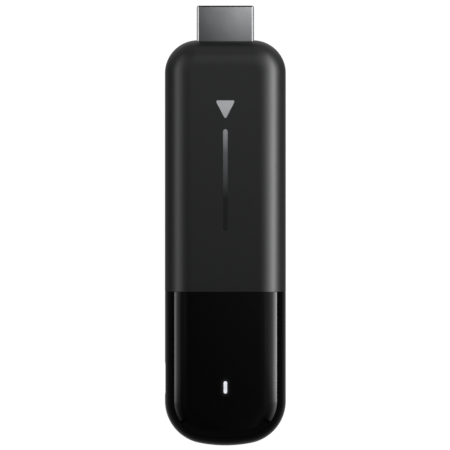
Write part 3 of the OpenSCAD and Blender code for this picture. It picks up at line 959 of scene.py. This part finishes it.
def floor():
    """Opal acrylic lit from below: white to the camera, with only a trace of shadow. It is open
    under the stick, a little inside its outline, so that the back can be seen from below."""
    material, tree, places = new_material("opal_acrylic")
    cloud = noise(tree, places, 50 * mm)
    surface(tree, {"Base Color": tones(tree, cloud, (0.3, "5a5a5a"), (0.7, "5e5e5e")),
                   "Roughness": 0.9, "Emission Color": linear("ffffff"),
                   "Emission Strength": 0.97})
    inset, far = mm, 4
    upper, lower = [[place - way * inset for place, way, sink in path]
                    for path in (upper_path(), lower_path())]
    foot = Vector((plug_half_w - 0.5 * mm, top_y - mm, 0))
    tip = Vector((foot.x, plug_high.y - 0.6 * mm, 0))
    flip = Vector((-1, 1, 1))
    half = len(upper) // 2
    upper[half:half] = [foot, tip, tip * flip, foot * flip]
    loop = upper + lower[::-1]
    count = len(loop)
    points = loop + [place.normalized() * far for place in loop]
    faces = [(i, count + i, count + (i + 1) % count, (i + 1) % count) for i in range(count)]
    mesh = bpy.data.meshes.new("floor")
    mesh.from_pydata(points, [], faces)
    mesh.materials.append(material)
    table = bpy.data.objects.new("floor", mesh)
    bpy.context.scene.collection.objects.link(table)
    table.visible_glossy = False


def soft_light(name, place, aim, size, radiance, up=None, along=None, only=None, skip=None,
               **seen):
    """A rectangular soft light aimed at a point. It may fade upwards and along its length, and
    it may be flagged so that it reaches only some pieces, or skips some."""
    data = bpy.data.lights.new(name, "AREA")
    data.shape, data.size, data.size_y = "RECTANGLE", *size
    data.energy = radiance * math.pi * size[0] * size[1]
    lamp = bpy.data.objects.new(name, data)
    bpy.context.scene.collection.objects.link(lamp)
    lamp.location = place
    lamp.rotation_mode = "QUATERNION"
    lamp.rotation_quaternion = (Vector(aim) - Vector(place)).to_track_quat("-Z", "Y")
    lamp.visible_camera = False
    for kind, value in seen.items():
        setattr(lamp, "visible_" + kind, value)
    data.use_nodes = True
    tree = data.node_tree
    tree.nodes.clear()
    where = add(tree, "ShaderNodeNewGeometry").outputs["Parametric"]
    split = add(tree, "ShaderNodeSeparateXYZ", {"Vector": where})
    rise, run = [add(tree, "ShaderNodeValToRGB", {"Fac": split.outputs[axis]},
                     stops=fade or shades((0, 1), (1, 1))).outputs["Color"]
                 for axis, fade in (("Y", up), ("X", along))]
    both = add(tree, "ShaderNodeMix", {6: rise, 7: run, 0: 1.0}, data_type="RGBA",
               blend_type="MULTIPLY")
    glow = add(tree, "ShaderNodeEmission", {"Color": both.outputs[2], "Strength": 1})
    add(tree, "ShaderNodeOutputLight", {"Surface": glow.outputs["Emission"]})
    if only or skip:
        group = bpy.data.collections.new(name + "_flags")
        lamp.light_linking.receiver_collection = group
        for i, piece in enumerate(only or skip):
            group.objects.link(piece)
            link = group.collection_objects[i].light_linking
            link.link_state = "INCLUDE" if only else "EXCLUDE"


def world():
    """The unlit studio round the stick: dark above the floor's level, paler below it, and three
    times as bright past the plug as elsewhere. The camera sees white paper behind the floor."""
    scene_world = bpy.data.worlds.new("studio")
    bpy.context.scene.world = scene_world
    scene_world.use_nodes = True
    tree = scene_world.node_tree
    tree.nodes.clear()
    way = add(tree, "ShaderNodeTexCoord").outputs["Generated"]
    split = add(tree, "ShaderNodeSeparateXYZ", {"Vector": way})
    height, side = [between(tree, split.outputs[axis], 0, 1, start=-1) for axis in "ZY"]
    tone = add(tree, "ShaderNodeValToRGB", {"Fac": height},
               stops=shades((0.0, 0.3), (0.1, 0.17), (0.2, 0.08), (0.27, 0.06), (0.46, 0.045),
                            (0.5, 0.01), (1.0, 0.01)))
    end = add(tree, "ShaderNodeValToRGB", {"Fac": side},
              stops=shades((0.0, 0.33), (0.6, 0.33), (0.8, 1), (1.0, 1)))
    strength = calc(tree, "MULTIPLY", end.outputs["Color"], 3)
    studio = add(tree, "ShaderNodeBackground",
                 {"Color": tone.outputs["Color"], "Strength": strength})
    paper = add(tree, "ShaderNodeBackground", {"Color": grey(0.95), "Strength": 1})
    seen = add(tree, "ShaderNodeLightPath").outputs["Is Camera Ray"]
    both = add(tree, "ShaderNodeMixShader",
               {0: seen, 1: studio.outputs[0], 2: paper.outputs[0]})
    add(tree, "ShaderNodeOutputWorld", {"Surface": both.outputs[0]})


def camera():
    """A long lens straight above the stick, its picture's upper edge towards the plug."""
    data = bpy.data.cameras.new("camera")
    data.lens = 250
    data.sensor_width = 36
    view_width = 109.4 * mm
    distance = view_width / data.sensor_width * data.lens
    aside, forwards = -0.09 * mm, 0.18 * mm
    eye = bpy.data.objects.new("camera", data)
    bpy.context.scene.collection.objects.link(eye)
    eye.location = (aside, forwards, mid_z + distance)
    data.clip_end = 20
    bpy.context.scene.camera = eye


floor()
world()

covers = [front_half, rear_half]
covers_and_plug = covers + [plug_sleeve]
reach = 0.5
side_size = (1.15, 1.0)
side_y, side_z = 0.15, 0.5
left, right, facing = (-reach, side_y, side_z), (reach, side_y, side_z), (0, side_y, side_z)
far_fade = shades((0, 0.05), (0.05, 0.1), (0.1, 0.14), (0.17, 0.22), (0.23, 0.3), (0.283, 0.38),
                  (0.3045, 0.42), (0.3075, 0.58), (0.311, 0.84), (0.315, 1))
near_fade = shades((0, 0.2), (0.25, 0.75), (0.36, 0.8), (0.415, 1), (0.43, 1), (0.75, 0.5),
                   (1, 0.1))
soft_light("left_strip", left, facing, side_size, 6.2, diffuse=False, skip=covers_and_plug,
           along=turned(far_fade),
           up=shades((0.025, 0), (0.03, 1), (0.15, 0.3), (0.23, 0.15), (0.4, 0.02)))
soft_light("right_strip", right, facing, side_size, 14, diffuse=False, skip=covers_and_plug,
           along=far_fade,
           up=shades((0, 1), (0.134, 0.4), (0.223, 0.16), (0.35, 0.08), (0.5, 0.04), (1, 0.005)))
soft_light("left_box", left, facing, side_size, 1.55, diffuse=False, only=covers,
           along=turned(near_fade),
           up=shades((0, 0.05), (0.06, 0.25), (0.13, 1), (0.2, 0.95), (0.3, 0.5), (0.45, 0.2),
                     (0.7, 0)))
soft_light("right_box", right, facing, side_size, 6.1, diffuse=False, only=covers,
           along=near_fade,
           up=shades((0, 0.05), (0.05, 0.35), (0.12, 1), (0.2, 0.85), (0.34, 0.3), (0.6, 0.1),
                     (1, 0.05)))

head_z, foot_z = 0.25, 0.15
soft_light("head_box", (0, reach, head_z), (0, 0, head_z), (1, 0.6), 0.3, diffuse=False,
           skip=[plug_sleeve],
           along=turned(shades((0, 0.15), (0.4, 0.45), (0.6, 0.85), (1, 1))))
soft_light("foot_box", (0, -reach, foot_z), (0, 0, foot_z), (1, 0.3), 0.07, diffuse=False)
overhead_z = 1.6
soft_light("overhead", (0, 0, overhead_z), (0, 0, 0), (2, 2), 2.4, glossy=False)

card_x, card_z = 0.01, 0.16
cover_y, cap_y = 0.05, -0.08
soft_light("cover_card", (card_x, cover_y, card_z), (card_x, cover_y, 0), (0.4, 0.34), 0.35,
           diffuse=False, only=covers,
           up=shades((0, 0), (0.25, 0.1), (0.353, 0.3), (0.5, 0.75), (0.65, 1), (1, 1)),
           along=shades((0, 0), (0.2, 0.5), (0.8, 1), (1, 0.6)))
soft_light("cap_card", (card_x, cap_y, card_z), (card_x, cap_y, 0), (0.4, 0.4), 0.84,
           diffuse=False, skip=covers_and_plug,
           up=shades((0, 0.18), (0.58, 0.24), (0.646, 0.42), (0.7, 0.5), (1, 0.5)),
           along=shades((0, 0.1), (0.2, 0.25), (0.35, 0.25), (0.44, 0.2), (0.51, 0.5),
                        (0.56, 0.58), (0.6, 0.7), (0.69, 0.95), (0.8, 0.6), (1, 0.4)))

plug_card_x, plug_card_y, plug_card_z = 0.005, 0.04675, 0.035
soft_light("plug_card", (plug_card_x, plug_card_y, plug_card_z), (plug_card_x, plug_card_y, 0),
           (0.05, 0.0335), 2.4, diffuse=False, only=[plug_sleeve],
           up=shades((0, 0), (0.4, 0.12), (0.5, 0.19), (0.75, 0.5), (0.88, 0.8), (1, 1)),
           along=shades((0, 0), (0.25, 0.2), (0.75, 1)))
strip_z = 0.36
for side in (-1, 1):
    soft_light("plug_strip", (side * reach, side_y, strip_z), (0, side_y, strip_z), (1.15, 0.7),
               2.2, diffuse=False, only=[plug_sleeve],
               up=shades((0, 0.7), (0.26, 0.9), (0.71, 1), (1, 0.4)))
camera()
bpy.context.scene.view_settings.view_transform = "Standard"
